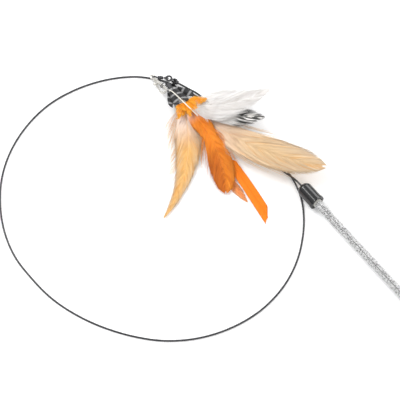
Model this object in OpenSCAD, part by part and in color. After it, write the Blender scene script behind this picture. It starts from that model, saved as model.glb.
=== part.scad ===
// Cat teaser wand: clear handle with foil inside, a long spring wire coiled into one
// loop for storage, a swivel, a lobster clasp and a feather lure.
// Millimetres. The floor is z = 0 and the handle, the wire and the lure lie on it.

/* [Handle] */
// Outer diameter of the clear tube
tube_d = 8; // [6:0.5:12]
// Wall of the clear tube
tube_wall = 0.6; // [0.5:0.1:1.2]
// Length of the clear tube
tube_len = 180; // [120:5:260]
// Angle of the handle on the floor, clockwise from the X axis
handle_angle = 52; // [50:1:54]
// Wall of the crinkled foil inside the tube
foil_wall = 0.4; // [0.2:0.1:0.6]

/* [Caps] */
// Wall of the soft caps pushed over the tube ends
cap_wall = 1.25; // [0.8:0.05:2]
// Length of each cap
cap_len = 17.5; // [14:0.5:24]
// Thickness of the closed end of a cap
cap_nose = 4; // [3:0.5:6]
// How far the rolled lip at the open end stands out
lip_h = 0.4; // [0.1:0.05:0.6]
// Length of the rolled lip
lip_len = 1.6; // [1:0.1:3]
// Length of the plug that holds the wire inside the tube
plug_len = 14; // [12:1:20]

/* [Wire] */
// Diameter of the coated spring wire
wire_d = 1.3; // [1:0.1:1.5]
// Length of the crimped sleeve behind the eye
crimp_len = 4.6; // [3.5:0.1:6]
// Wall of the crimped sleeve
crimp_wall = 0.75; // [0.5:0.05:0.9]
// Free width inside the eye at the wire's end
eye_gap = 2.6; // [2.2:0.1:3.2]
// Width of the band that ties the loop shut
tie_w = 1.4; // [1:0.1:2]
// Thickness of that band
tie_t = 0.5; // [0.3:0.05:0.6]
// Length of the band's loose tail
tie_tail = 3.4; // [2:0.1:5]

/* [Swivel] */
// Diameter of the swivel's own wire
swivel_wire_d = 0.8; // [0.6:0.05:0.9]
// Radius of each swivel eye, to the middle of its wire
swivel_eye_r = 1.35; // [1.3:0.05:1.8]
// Outer diameter of the barrel
barrel_d = 2.6; // [2.4:0.1:3]
// Length of the barrel
barrel_len = 4; // [3.8:0.1:5]
// Wall of the barrel
barrel_wall = 0.35; // [0.25:0.05:0.4]
// Diameter of the knob on each swivel stem
knob_d = 1.2; // [1.1:0.05:1.3]

/* [Clasp] */
// Thickness of the clasp
clasp_t = 1.8; // [1.6:0.1:2.4]
// Length from the clasp's end ring to the round end of its hook
clasp_len = 16.2; // [14:0.1:18]
// Widest width of the clasp
clasp_w = 5.8; // [5.4:0.1:6.6]
// Width of the bar that makes the hook
clasp_bar = 1.1; // [0.9:0.05:1.2]
// Diameter of the clasp's hinge pin
pin_d = 0.7; // [0.6:0.05:0.9]
// Thickness of the lever
lever_t = 0.8; // [0.6:0.05:0.9]
// Radius of the jump ring, to the middle of its wire
ring_r = 2.5; // [2.4:0.05:3]
// Wire diameter of the jump ring
ring_d = 0.6; // [0.4:0.05:0.7]

/* [Lure body] */
// Radius of the loop at the lure's neck, to the middle of its cord
neck_r = 0.85; // [0.8:0.05:1.2]
// Diameter of the neck loop's cord
neck_d = 0.6; // [0.4:0.05:0.7]
// Diameter of the bound quill core
core_d = 2.3; // [2:0.1:3]
// Length of the bound quill core
core_len = 20.5; // [19:0.5:24]
// Length of the dark sleeve over the neck
sleeve_len = 4; // [3.5:0.5:5]
// Wall of that sleeve
sleeve_wall = 0.5; // [0.4:0.05:0.6]
// Angle at which the core rises from the neck
lure_pitch = 5; // [4:1:6]

/* [Feathers] */
// Thickness of a feather vane beside its quill
vane_t = 0.45; // [0.3:0.05:0.6]
// Diameter of a quill
quill_d = 0.8; // [0.6:0.05:1]
// Length of the barred feathers round the head
barred_len = 17; // [15:0.5:18]
// Width of each barred feather, laid flat
barred_w = 10; // [8:0.5:11]
// Length of the short orange tuft
tuft_len = 15.5; // [13:0.5:17]
// Width of the short orange tuft
tuft_w = 9; // [7:0.5:10]
// Length of the peach feather
peach_len = 95; // [80:1:100]
// Width of the peach feather
peach_w = 19; // [14:0.5:21]
// Length of the orange feather
orange_len = 80; // [68:1:84]
// Width of the orange feather
orange_w = 17; // [12:0.5:18]
// Length of the trimmed orange feather with the strap-like end
strap_len = 113; // [100:1:118]
// Width of its strap-like end
strap_w = 8.4; // [6:0.1:9]
// Length of the pale orange feather
pale_len = 91; // [84:1:94]
// Width of the pale orange feather
pale_w = 6; // [5:0.5:7]
// Length of the cream feather
cream_len = 117; // [100:1:122]
// Width of the cream feather
cream_w = 24; // [18:0.5:25]
// Length of the long white down feather
down_len = 62; // [52:1:66]
// Width of the long white down feather
down_w = 24; // [18:0.5:26]
// Length of the white feather with the dark tip
tipped_len = 59; // [50:1:62]
// Width of the white feather with the dark tip
tipped_w = 15; // [11:0.5:17]
// Length of the bare white quill that lies over the head
bare_len = 31; // [24:1:45]

/* [Hidden] */

// Smoothness of the round parts
$fn = 48;
// Extra length of every cut, so that it passes right through
cut = 1;
// Gap between a cap or plug and the tube it is pushed on or into
push_gap = 0.05;
// Running gap round a pin or stem
run_gap = 0.15;
// Gap between pieces that lie against each other
lie_gap = 0.3;

// Origin of the part, as a point of the plan in which all places below are given
plan_origin = [77, -20];
// Front tip of the handle on the plan
handle_tip = [71, 8.2];
// Middle of the wire eye's tube, where the swivel hooks on
hook_at = [-24.2, 98.8];
// Height of the eye, the swivel, the clasp and the neck above the floor
hook_z = 3.1;
// Height of the wire strand that is tied to the crimped sleeve
tied_z = 1.6;
// Length of wire held inside the handle, and its straight run before the tip
wire_grip = 10;
wire_lead = 8;
// Directions on the plan, counter-clockwise from the X axis
swivel_dir = 174;
eye_dir = -31;
clasp_dir = -56;
lure_dir = -54;

cap_d = tube_d + 2 * push_gap + 2 * cap_wall;
handle_z = cap_d / 2 + lip_h;
tube_bore = tube_d - 2 * tube_wall;
tube_start = cap_nose + push_gap;
handle_len = 2 * tube_start + tube_len;
plug_d = tube_bore - 2 * push_gap;
plug_start = tube_start + push_gap;
foil_d = tube_bore - 2 * run_gap;
foil_start = plug_start + plug_len + lie_gap;
wire_hole_d = wire_d + 2 * run_gap;

eye_r = eye_gap / 2 + wire_d / 2;
crimp_d = wire_hole_d + 2 * crimp_wall;
crimp_start = eye_r + wire_d / 2 + lie_gap;
eye_leg = crimp_start + crimp_len / 2 - push_gap;

barrel_start = swivel_eye_r + swivel_wire_d / 2 + 1.5 * lie_gap;
swivel_len = 2 * barrel_start + barrel_len;
knob_at = barrel_start + barrel_wall + knob_d / 2 + run_gap;

clasp_ring_d = 2 * (swivel_eye_r - swivel_wire_d / 2 - lie_gap);
clasp_ring_r = swivel_eye_r;
hook_round_r = clasp_w / 2;
hook_round_at = clasp_len - hook_round_r;
gate_y = hook_round_r - clasp_bar / 2;
pin_share = 0.36;
pin_at = [clasp_len * pin_share, -hook_round_r * pin_share];
hub_wall_share = 0.6;
lever_hub_d = pin_d + 2 * clasp_bar * hub_wall_share;
spring_recess = 1.5 * run_gap;
spring_recess_d = pin_d + 6 * run_gap;
ring_seat_share = 0.62;
ring_seat = clasp_len * ring_seat_share;
bar_y = clasp_side(ring_seat) - clasp_bar / 2;
ring_shift_share = 0.38;
ring_shift = ring_shift_share * ring_r;
gate_end = hook_round_at + lie_gap;

function dir2(a) = [cos(a), sin(a)];
// Half the clasp's width at x, between its narrow ring end and its round hook
function clasp_side(x) =
    clasp_bar + (hook_round_r - clasp_bar) * (x - clasp_ring_r - clasp_bar)
        / (hook_round_at - clasp_ring_r - clasp_bar);

rear_at = hook_at + swivel_len * dir2(swivel_dir);
clasp_at = rear_at + clasp_ring_r * dir2(swivel_dir);
bar_at = clasp_at + ring_seat * dir2(clasp_dir) + bar_y * dir2(clasp_dir + 90);
ring_at = bar_at + ring_shift * dir2(clasp_dir + 90);
neck_at = ring_at + ring_r * dir2(clasp_dir + 90);
eye_at = hook_at - eye_r * dir2(swivel_dir);

sleeve_start = neck_r + neck_d / 2 + 2 * lie_gap;
sleeve_bore = core_d + 2 * push_gap;
core_start = sleeve_start + lie_gap;
binding_turns = 5;
binding_len = core_d;
thread = binding_len / binding_turns;
binding_h = 1.5 * thread + push_gap;
binding_start = sleeve_start + sleeve_len + lie_gap;
head_start = binding_start + binding_len / 2;
core_end = core_start + core_len;

function core_z(x) = hook_z + x * tan(lure_pitch);

// Height of the wire's middle where it lies on the floor
low = wire_d / 2;
// A point on the handle's axis, x beyond its tip
function on_axis(x, z) = concat(handle_tip + x * dir2(-handle_angle), z);
// Points of the wire's route on the plan, from inside the handle, once round the loop
// and back to the crimped sleeve, with their heights above the floor
wire_route = [
    on_axis(wire_grip, handle_z), on_axis(0, handle_z), on_axis(-wire_lead, 4.5),
    [58, 23.4, 0.9], [48, 34, low],
    [24, 58.6, low], [0, 83, low], [-19.6, 94, tied_z], [-29, 98.6, low],
    [-47, 101.5, low], [-68, 98.6, low], [-89, 90.5, low], [-108, 77.6, low],
    [-123, 60, low], [-133.6, 39.5, low], [-139.2, 17.5, low], [-139.6, -5, low],
    [-136, -26, low], [-128, -46, low], [-115.6, -63.5, low], [-101.4, -79, low],
    [-84.6, -91.4, low], [-66, -101, low], [-45, -108, low], [-23, -111.3, low],
    [0, -109, low], [22, -101, low], [41.4, -88, low], [57, -70, low],
    [67, -49.4, low], [71.8, -27, low], [72, -7, low], [68.4, 9, low],
    [61, 23.6, low], [49.3, 35.4, low], [25.3, 60, low], [1.3, 84.4, 0.9],
    [-8, 90.4, 2], [-16.1, 94.9, hook_z], [-17.7, 95.9, hook_z]
];
wire_steps = 2;
wire_sides = 8;

// Widths of the feathers along their length, as shares of their full width
peach_shares = [
    [0, 0.08], [0.08, 0.18], [0.2, 0.72], [0.32, 0.98], [0.45, 0.88], [0.6, 0.66], [0.75, 0.38],
    [0.9, 0.2], [1, 0.04]
];
orange_shares = [
    [0, 0.07], [0.12, 0.2], [0.22, 0.62], [0.3, 0.82], [0.38, 0.72], [0.47, 0.54], [0.6, 0.78],
    [0.74, 0.98], [0.86, 0.96], [0.95, 0.66], [1, 0.1]
];
strap_shares = [
    [0, 0.1], [0.5, 0.1], [0.53, 0.84], [0.65, 0.95], [0.8, 1], [0.92, 1], [0.96, 0.7],
    [1, 0.06]
];
curl_shares = [[0, 0.12], [0.7, 0.14], [0.8, 0.9], [0.9, 1], [1, 0.1]];
plume_shares = [
    [0, 0.05], [0.12, 0.2], [0.25, 0.44], [0.4, 0.68], [0.55, 0.85], [0.72, 1], [0.86, 0.88],
    [0.95, 0.58], [1, 0.1]
];
down_shares = [
    [0, 0.07], [0.06, 0.12], [0.15, 0.46], [0.35, 0.88], [0.5, 1], [0.7, 0.74], [0.86, 0.38],
    [1, 0.05]
];
tipped_shares = [[0, 0.06], [0.2, 0.28], [0.5, 0.78], [0.75, 1], [0.9, 0.66], [1, 0.06]];
barred_angle = -2;
top_share = 1.2;
cape_shares = [[0, 0.36], [0.3, 0.6], [0.65, 0.92], [0.88, 1], [1, 0.6]];
tuft_shares = [[0, 0.07], [0.12, 0.25], [0.35, 0.9], [0.6, 1], [0.85, 0.55], [1, 0.08]];

// Points on a smooth curve through a list of points, with a few steps to each span
function curve_at(p, i, t) =
    let (
        a = p[max(i - 1, 0)],
        b = p[i],
        c = p[min(i + 1, len(p) - 1)],
        d = p[min(i + 2, len(p) - 1)]
    )
    0.5 * (2 * b + (c - a) * t + (2 * a - 5 * b + 4 * c - d) * t * t
        + (3 * b - a - 3 * c + d) * t * t * t);
function smooth_route(p, steps) = [
    for (i = [0 : len(p) - 2]) for (s = [0 : steps - 1]) curve_at(p, i, s / steps),
    p[len(p) - 1]
];
function unit(v) = v / norm(v);
function side_of(t) = unit(cross([0, 0, 1], t));

// Triangles that join rings of n points into one closed skin
function skin_faces(rings, n) = concat(
    [[for (j = [0 : n - 1]) j]],
    [for (i = [0 : rings - 2]) for (j = [0 : n - 1])
        [i * n + j, (i + 1) * n + j, (i + 1) * n + (j + 1) % n]],
    [for (i = [0 : rings - 2]) for (j = [0 : n - 1])
        [i * n + j, (i + 1) * n + (j + 1) % n, i * n + (j + 1) % n]],
    [[for (j = [n - 1 : -1 : 0]) (rings - 1) * n + j]]
);

// A round tube of diameter d swept along a list of points
module swept_tube(path, d, sides) {
    last = len(path) - 1;
    points = [
        for (i = [0 : last])
            let (
                t = unit(path[min(i + 1, last)] - path[max(i - 1, 0)]),
                s = side_of(t),
                u = cross(t, s)
            )
            for (j = [0 : sides - 1])
                path[i] + d / 2 * (cos(j * 360 / sides) * s + sin(j * 360 / sides) * u)
    ];
    polyhedron(points, skin_faces(last + 1, sides));
}

// One feather: a thin vane with a raised quill, swept along an arc on the plan.
// start is the foot of its quill, heading and bend are angles on the plan, end_z is
// the height of its tip, arch lifts its middle, wrap curls it across, roll tilts it.
feather_steps = 11;
quill_taper_share = 0.7;
across_shares = [-1, -0.5, -0.08, 0, 0.08, 0.5, 1];
module feather(start, length, width, shares, heading, bend, end_z, arch, wrap, roll) {
    rings = [
        for (i = [0 : feather_steps])
            let (
                f = i / feather_steps,
                turn = bend * PI / 180,
                x = length / turn * (sin(heading + bend * f) - sin(heading)),
                y = length / turn * (cos(heading) - cos(heading + bend * f)),
                z = (end_z - start[2]) * f * f * (3 - 2 * f) + arch * 4 * f * (1 - f)
            )
            start + [x, y, z]
    ];
    points = [
        for (i = [0 : feather_steps])
            let (
                t = unit(rings[min(i + 1, feather_steps)] - rings[max(i - 1, 0)]),
                s0 = side_of(t),
                u0 = cross(t, s0),
                s = cos(roll) * s0 + sin(roll) * u0,
                u = cos(roll) * u0 - sin(roll) * s0,
                f = i / feather_steps,
                half = width / 2 * lookup(f, shares),
                curl_r = half / sin(wrap / 2),
                quill = quill_d * (1 - quill_taper_share * f)
            )
            each concat(
                [for (k = across_shares)
                    let (a = k * wrap / 2)
                    rings[i] - curl_r * sin(a) * s
                        + (curl_r * (cos(a) - 1) + (k == 0 ? quill / 2 : vane_t / 4)) * u],
                [for (j = [len(across_shares) - 1 : -1 : 0])
                    let (k = across_shares[j], a = k * wrap / 2)
                    rings[i] - curl_r * sin(a) * s
                        + (curl_r * (cos(a) - 1) - (k == 0 ? quill / 2 : vane_t / 2)) * u]
            )
    ];
    polyhedron(points, skin_faces(feather_steps + 1, 2 * len(across_shares)));
}

// Places: each child is drawn in its own frame and set down on the plan
module on_plan(at, z, turn) {
    translate([at[0] - plan_origin[0], at[1] - plan_origin[1], z])
        rotate([0, 0, turn]) children();
}
module on_handle() {
    on_plan(handle_tip, handle_z, -handle_angle) rotate([0, 90, 0]) children();
}
module on_swivel() {
    on_plan(hook_at, hook_z, swivel_dir) children();
}
module on_clasp() {
    on_plan(clasp_at, hook_z, clasp_dir) children();
}
module on_core() {
    on_plan(neck_at, hook_z, lure_dir) rotate([0, 90 - lure_pitch, 0]) children();
}
module on_lure() {
    on_plan(neck_at, 0, lure_dir) children();
}

// A soft cap: round nose, rolled lip, bore for the tube and a hole for the wire
module cap(hole_d) {
    nose = [for (a = [0 : 6 : 90]) [cap_d / 2 * sin(a), cap_nose * (1 - cos(a))]];
    difference() {
        union() {
            rotate_extrude()
                polygon(concat(nose, [[cap_d / 2, cap_len], [0, cap_len]]));
            translate([0, 0, cap_len - lip_len])
                cylinder(h = lip_len, d = cap_d + 2 * lip_h);
        }
        translate([0, 0, cap_nose])
            cylinder(h = cap_len, d = tube_d + 2 * push_gap);
        if (hole_d > 0)
            translate([0, 0, -cut])
                cylinder(h = cap_nose + 2 * cut, d = hole_d);
    }
}

module handle_tube() {
    color("#dfe6ea")
        on_handle()
            translate([0, 0, tube_start])
                difference() {
                    cylinder(h = tube_len, d = tube_d);
                    translate([0, 0, -cut])
                        cylinder(h = tube_len + 2 * cut, d = tube_bore);
                }
}

module foil_insert() {
    foil_len = tube_start + tube_len - foil_start - lie_gap;
    color("silver")
        on_handle()
            translate([0, 0, foil_start])
                difference() {
                    cylinder(h = foil_len, d = foil_d);
                    translate([0, 0, -cut])
                        cylinder(h = foil_len + 2 * cut, d = foil_d - 2 * foil_wall);
                }
}

module front_cap() {
    color("#1c1c1e") on_handle() cap(wire_hole_d);
}

module rear_cap() {
    color("#1c1c1e")
        on_handle()
            translate([0, 0, handle_len]) mirror([0, 0, 1]) cap(0);
}

// Plug glued in the tube, bored for the wire
module wire_plug() {
    color("#e8e2cf")
        on_handle()
            translate([0, 0, plug_start])
                difference() {
                    cylinder(h = plug_len, d = plug_d);
                    translate([0, 0, -cut])
                        cylinder(h = plug_len + 2 * cut, d = wire_hole_d);
                }
}

module spring_wire() {
    path = [
        for (p = smooth_route(wire_route, wire_steps))
            [p[0] - plan_origin[0], p[1] - plan_origin[1], max(p[2], low)]
    ];
    color("#202022") swept_tube(path, wire_d, wire_sides);
}

// Eye at the wire's end: a ring of the same wire with its leg in the sleeve
module wire_eye() {
    color("#202022")
        on_plan(eye_at, hook_z, eye_dir) {
            rotate_extrude() translate([eye_r, 0]) circle(d = wire_d);
            translate([eye_r, 0, 0])
                rotate([0, 90, 0]) cylinder(h = eye_leg - eye_r, d = wire_d);
        }
}

module crimp_sleeve() {
    color("#2c2c2e")
        on_plan(eye_at, hook_z, eye_dir)
            translate([crimp_start, 0, 0])
                rotate([0, 90, 0])
                    difference() {
                        cylinder(h = crimp_len, d = crimp_d);
                        translate([0, 0, -cut])
                            cylinder(h = crimp_len + 2 * cut, d = wire_hole_d);
                    }
}

// Band round the sleeve and the strand beside it, which keeps the loop shut
module loop_tie() {
    mid = crimp_start + crimp_len / 2;
    strand = [-2.5 * tie_t - crimp_d / 4, tied_z - hook_z];
    knot_h = 2.4 * tie_t;
    tail_share = 0.7;
    tail_angle = 30;
    module band_outline(grow) {
        hull() {
            circle(d = crimp_d + 2 * grow);
            translate([strand[0] - wire_d / 2, strand[1]]) circle(d = wire_d + 2 * grow);
        }
    }
    color("#161617")
        on_plan(eye_at, hook_z, eye_dir)
            translate([mid - tie_w / 2, 0, 0])
                rotate([90, 0, 90]) {
                    linear_extrude(tie_w)
                        difference() {
                            band_outline(run_gap + tie_t);
                            band_outline(run_gap);
                        }
                    translate([-tie_w / 2, crimp_d / 2 + run_gap, -tie_t / 2])
                        cube([tie_w, knot_h, tie_w + tie_t]);
                    translate([-tie_t / 2, crimp_d / 2 + run_gap + tie_t, 0])
                        rotate([0, 0, tail_angle]) cube([tie_t, tie_tail, tie_w * tail_share]);
                }
}

// One swivel eye: ring, stem and the knob that the barrel traps
module swivel_eye() {
    rotate([90, 0, 0])
        rotate_extrude() translate([swivel_eye_r, 0]) circle(d = swivel_wire_d);
    translate([swivel_eye_r, 0, 0])
        rotate([0, 90, 0]) cylinder(h = knob_at - swivel_eye_r, d = swivel_wire_d);
    translate([knob_at, 0, 0]) sphere(d = knob_d);
}

module swivel_front_eye() {
    color("#3a3a3c") on_swivel() swivel_eye();
}

module swivel_rear_eye() {
    color("#3a3a3c") on_swivel() translate([swivel_len, 0, 0]) rotate([0, 0, 180]) swivel_eye();
}

// Hollow barrel, rolled in at both ends over the knobs
module swivel_barrel() {
    inner = barrel_d / 2 - barrel_wall;
    hole = swivel_wire_d / 2 + run_gap / 2;
    neck = barrel_d / 2 - barrel_wall / 2;
    bead_start_share = 0.3;
    bead_share = 0.36;
    half = [
        [hole, 0], [neck - barrel_wall, 0], [neck, barrel_wall], [neck, barrel_len * bead_start_share],
        [barrel_d / 2, barrel_len * bead_share]
    ];
    color("#48484a")
        on_swivel()
            translate([barrel_start, 0, 0])
                rotate([0, 90, 0])
                    rotate_extrude()
                        polygon(concat(
                            half,
                            [for (i = [len(half) - 1 : -1 : 0]) [half[i][0], barrel_len - half[i][1]]],
                            [[hole, barrel_len - barrel_wall], [inner, barrel_len - barrel_wall],
                                [inner, barrel_wall], [hole, barrel_wall]]
                        ));
}

// Outline of the clasp's body on its own flat side
module clasp_outline(inset) {
    hull() {
        translate([clasp_ring_r + clasp_bar, 0]) circle(r = clasp_bar);
        translate([hook_round_at, 0]) circle(r = hook_round_r - inset, $fn = 64);
    }
}

module clasp_body() {
    slot_t = lever_t + 2 * run_gap;
    opening_start = pin_at[0] + lever_hub_d / 2;
    gate_cut_share = 0.45;
    color("#c9c6bd")
        on_clasp() {
            rotate_extrude() translate([clasp_ring_r, 0]) circle(d = clasp_ring_d);
            difference() {
                translate([0, 0, -clasp_t / 2])
                    linear_extrude(clasp_t)
                        difference() {
                            clasp_outline(0);
                            circle(r = clasp_ring_r + clasp_ring_d / 4);
                            hull() {
                                translate([opening_start + clasp_bar / 2, 0])
                                    circle(r = clasp_bar / 2);
                                translate([hook_round_at, 0]) circle(r = hook_round_r - clasp_bar);
                            }
                            translate([pin_at[0], -clasp_w])
                                square([gate_end - pin_at[0], clasp_w - clasp_bar * gate_cut_share]);
                        }
                translate([pin_at[0], pin_at[1], -slot_t / 2])
                    cylinder(h = slot_t, d = lever_hub_d + 2 * run_gap);
                translate([pin_at[0], pin_at[1], -clasp_t])
                    cylinder(h = 2 * clasp_t, d = pin_d + 2 * push_gap);
            }
            pin_cheeks();
        }
}

// Two cheeks that carry the pin above and below the lever's hub
module pin_cheeks() {
    cheek_t = (clasp_t - lever_t) / 2 - run_gap;
    for (side = [-1, 1])
        translate([pin_at[0], pin_at[1], side * (clasp_t - cheek_t) / 2])
            difference() {
                cylinder(h = cheek_t, d = lever_hub_d, center = true);
                cylinder(h = 2 * cheek_t, d = pin_d + 2 * push_gap, center = true);
            }
}

module clasp_pin() {
    color("#9a978f")
        on_clasp()
            translate([pin_at[0], pin_at[1], -clasp_t / 2]) cylinder(h = clasp_t, d = pin_d);
}

// Closed turns of the small return spring, on the pin beside the hub
module clasp_spring() {
    spring_t = run_gap;
    color("#8d8a84")
        on_clasp()
            translate([pin_at[0], pin_at[1], lever_t / 2 - (spring_recess + spring_t) / 2])
                difference() {
                    cylinder(h = spring_t, d = spring_recess_d - 2 * run_gap);
                    translate([0, 0, -cut])
                        cylinder(h = spring_t + 2 * cut, d = pin_d + 2 * push_gap);
                }
}

// Lever: hub on the pin, gate along the open side and a thumb tab
module clasp_lever() {
    tip = [gate_end - lie_gap - clasp_bar / 2, -gate_y];
    tip_share = 0.8;
    root_shares = [0.1, -0.15];
    tab_shares = [0.3, 0.9];
    color("#d4d1c8")
        on_clasp()
            difference() {
                translate([0, 0, -lever_t / 2])
                    linear_extrude(lever_t) {
                        translate(pin_at) circle(d = lever_hub_d);
                        hull() {
                            translate(pin_at + lever_hub_d * root_shares) circle(d = clasp_bar);
                            translate(tip) circle(d = clasp_bar * tip_share);
                        }
                        hull() {
                            for (share = tab_shares)
                                translate(pin_at - [0, lever_hub_d * share]) circle(d = clasp_bar);
                        }
                    }
                translate([pin_at[0], pin_at[1], -clasp_t])
                    cylinder(h = 2 * clasp_t, d = pin_d + 2 * run_gap);
                translate([pin_at[0], pin_at[1], lever_t / 2 - spring_recess])
                    cylinder(h = clasp_t, d = spring_recess_d);
            }
}

module jump_ring() {
    color("#333335")
        on_plan(ring_at, hook_z, clasp_dir + 90)
            rotate([90, 0, 0])
                rotate_extrude() translate([ring_r, 0]) circle(d = ring_d);
}

module neck_loop() {
    color("#2a2a2c") {
        on_plan(neck_at, hook_z, 0)
            rotate_extrude() translate([neck_r, 0]) circle(d = neck_d);
        on_core()
            translate([0, 0, neck_r]) cylinder(h = core_start - push_gap - neck_r, d = neck_d);
    }
}

module neck_sleeve() {
    color("#3f3f42")
        on_core()
            translate([0, 0, sleeve_start])
                difference() {
                    cylinder(h = sleeve_len, d = sleeve_bore + 2 * sleeve_wall);
                    translate([0, 0, -cut])
                        cylinder(h = sleeve_len + 2 * cut, d = sleeve_bore);
                }
}

module lure_core() {
    color("#d9c9a8")
        on_core() {
            translate([0, 0, core_start]) cylinder(h = core_len, d = core_d);
            translate([0, 0, core_end]) sphere(d = core_d);
        }
}

// Turns of thread, side by side over the neck end of the core
module thread_binding() {
    bore = sleeve_bore / 2;
    crests = [
        for (i = [0 : binding_turns - 1]) for (a = [0 : 30 : 150])
            [bore + thread * (0.5 + sin(a)), thread * (i + 0.5 - cos(a) / 2)]
    ];
    color("#26262a")
        on_core()
            translate([0, 0, binding_start])
                rotate_extrude()
                    polygon(concat([[bore, 0]], crests, [[bore, binding_len]]));
}

// Foot of a feather on the core: x along the core, a round it, over what covers the core
function foot(x, a, over = 0) =
    let (r = core_d / 2 + over + quill_d / 2 + lie_gap)
    [x, r * cos(a), core_z(x) + r * sin(a)];

module barred_feather(a, heading, width, roll, end_z) {
    color("#4a4a4c")
        on_lure()
            feather(foot(binding_start + lie_gap, a, binding_h), barred_len, width, cape_shares,
                heading, barred_angle, end_z, 0, 80, roll);
}
module barred_feather_left() {
    barred_feather(190, -19, barred_w, -55, core_z(core_end) + quill_d);
}
module barred_feather_top() {
    barred_feather(90, -6, barred_w * top_share, -6, core_z(core_end) + barred_w * 0.48);
}
module barred_feather_right() {
    barred_feather(-10, 10, barred_w, 55, core_z(core_end) + quill_d);
}

module orange_tuft_left() {
    color("#f59b32")
        on_lure()
            feather(foot(core_end, 116), tuft_len, tuft_w, tuft_shares,
                -42, -30, core_z(core_end) + 3 * quill_d, 2 * quill_d, 30, -10);
}
module orange_tuft_right() {
    color("#f59b32")
        on_lure()
            feather(foot(core_end, 66), tuft_len, tuft_w, tuft_shares,
                38, 42, core_z(core_end) + 5 * quill_d, quill_d, 14, 0);
}

module peach_feather() {
    color("#f6cf9f")
        on_lure()
            feather(foot(core_end - quill_d, 200), peach_len, peach_w, peach_shares,
                -20, -48, 2 * quill_d, 0, 26, 0);
}
module orange_feather() {
    color("#f08420")
        on_lure()
            feather(foot(core_end - quill_d, 156), orange_len, orange_w, orange_shares,
                8, -42, 3 * quill_d, 3.5 * quill_d, 24, 0);
}
module strap_feather() {
    color("#fb7d18")
        on_lure()
            feather(foot(core_end - quill_d, 270), strap_len, strap_w, strap_shares,
                1, -9, quill_d, quill_d, 18, 0);
}
module pale_feather() {
    color("#f5a866")
        on_lure()
            feather(foot(core_end - quill_d, 236), pale_len, pale_w, curl_shares,
                -13, 14, quill_d, -quill_d, 20, 0);
}
module cream_feather() {
    color("#f8e3bb")
        on_lure()
            feather(foot(core_end - quill_d, -44), cream_len, cream_w, plume_shares,
                6, 34, 1.4 * cap_d, -quill_d, 16, 0);
}
module down_feather() {
    color("#f4f2ef")
        on_lure()
            feather(foot(core_end, 24), down_len, down_w, down_shares,
                30, 56, 1.6 * cap_d, quill_d, 14, 0);
}
module dark_tipped_feather() {
    color("#e9e6e1")
        on_lure()
            feather(foot(core_end - quill_d, -8), tipped_len, tipped_w, tipped_shares,
                20, 34, 1.1 * cap_d, 0, 14, 0);
}
module bare_quill() {
    color("#efe9de")
        on_lure()
            swept_tube(
                [for (f = [0 : 0.125 : 1])
                    [head_start + bare_len * f,
                        core_d * (f - 1) * (1.2 + 1.6 * f),
                        core_z(head_start) + core_d * (1 + 3.9 * sqrt(f) - 2.5 * f * f)]],
                quill_d, wire_sides);
}

handle_tube();
foil_insert();
front_cap();
rear_cap();
wire_plug();
spring_wire();
crimp_sleeve();
wire_eye();
loop_tie();
swivel_front_eye();
swivel_barrel();
swivel_rear_eye();
clasp_body();
clasp_pin();
clasp_spring();
clasp_lever();
jump_ring();
neck_loop();
neck_sleeve();
lure_core();
thread_binding();
barred_feather_left();
barred_feather_top();
barred_feather_right();
orange_tuft_left();
orange_tuft_right();
peach_feather();
orange_feather();
strap_feather();
pale_feather();
cream_feather();
down_feather();
dark_tipped_feather();
bare_quill();
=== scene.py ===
import math
import random

import bpy
from mathutils import Matrix, Vector, noise


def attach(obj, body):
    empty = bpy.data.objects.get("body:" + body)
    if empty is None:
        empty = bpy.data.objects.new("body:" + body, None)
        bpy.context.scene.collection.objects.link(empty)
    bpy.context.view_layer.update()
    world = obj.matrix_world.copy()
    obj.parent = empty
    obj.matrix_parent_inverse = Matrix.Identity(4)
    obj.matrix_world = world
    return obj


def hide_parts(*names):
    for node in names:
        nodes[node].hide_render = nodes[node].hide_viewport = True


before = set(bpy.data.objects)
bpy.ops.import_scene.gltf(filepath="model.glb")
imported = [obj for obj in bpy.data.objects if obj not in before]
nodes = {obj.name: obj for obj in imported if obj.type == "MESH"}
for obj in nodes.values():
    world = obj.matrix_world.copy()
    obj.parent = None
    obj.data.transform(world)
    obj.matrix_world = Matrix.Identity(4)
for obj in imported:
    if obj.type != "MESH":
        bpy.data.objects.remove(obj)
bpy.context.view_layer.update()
mm = 0.001
bpy.ops.object.select_all(action="DESELECT")


def new_finish(name):
    """A new material: itself, its nodes, its links and its Principled BSDF."""
    made = bpy.data.materials.new(name)
    made.use_nodes = True
    tree = made.node_tree
    return made, tree.nodes, tree.links, tree.nodes["Principled BSDF"]


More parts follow.
